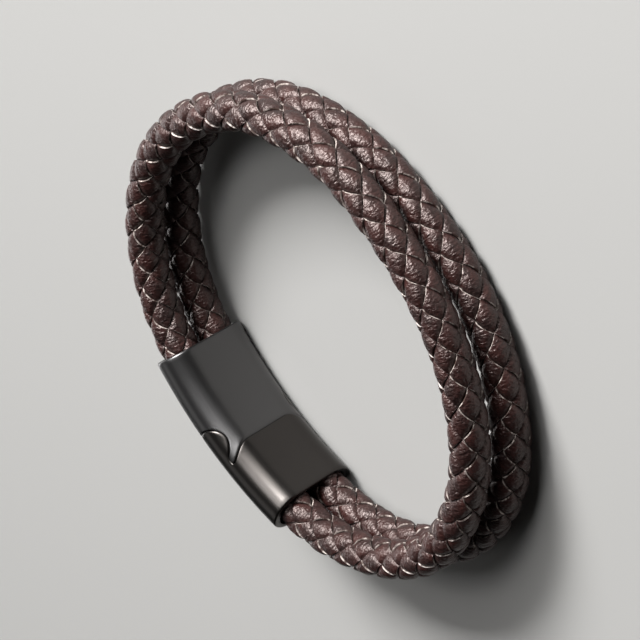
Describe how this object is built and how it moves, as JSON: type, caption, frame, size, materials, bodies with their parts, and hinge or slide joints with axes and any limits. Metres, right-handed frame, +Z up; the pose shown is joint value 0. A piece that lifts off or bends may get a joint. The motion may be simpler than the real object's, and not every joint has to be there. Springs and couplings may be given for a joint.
{
  "type": "leather bracelet",
  "caption": "Closed bracelet of plaited round leather cords side by side, joined by a curved oval metal clasp whose hooked half wraps a round lobe on the other half.",
  "frame": {"origin": "middle of the bracelet's bounding box in X and Y, on the surface that it lies on", "axes": "+Z up, along the axis of the loop; +Y from the middle of the loop to the clasp; +X to the clasp half with the hook"},
  "size_m": [0.0774, 0.0702, 0.0147],
  "materials": {
    "leather": "dark brown grained strips, semi-gloss, with paler raw cut edges",
    "gunmetal": "black-grey plating, satin brushed"
  },
  "bodies": {
    "root": {"cord_upper": "leather", "cord_lower": "leather", "clasp_hook_half": "gunmetal", "clasp_tongue_half": "gunmetal"}
  },
  "joints": []
}
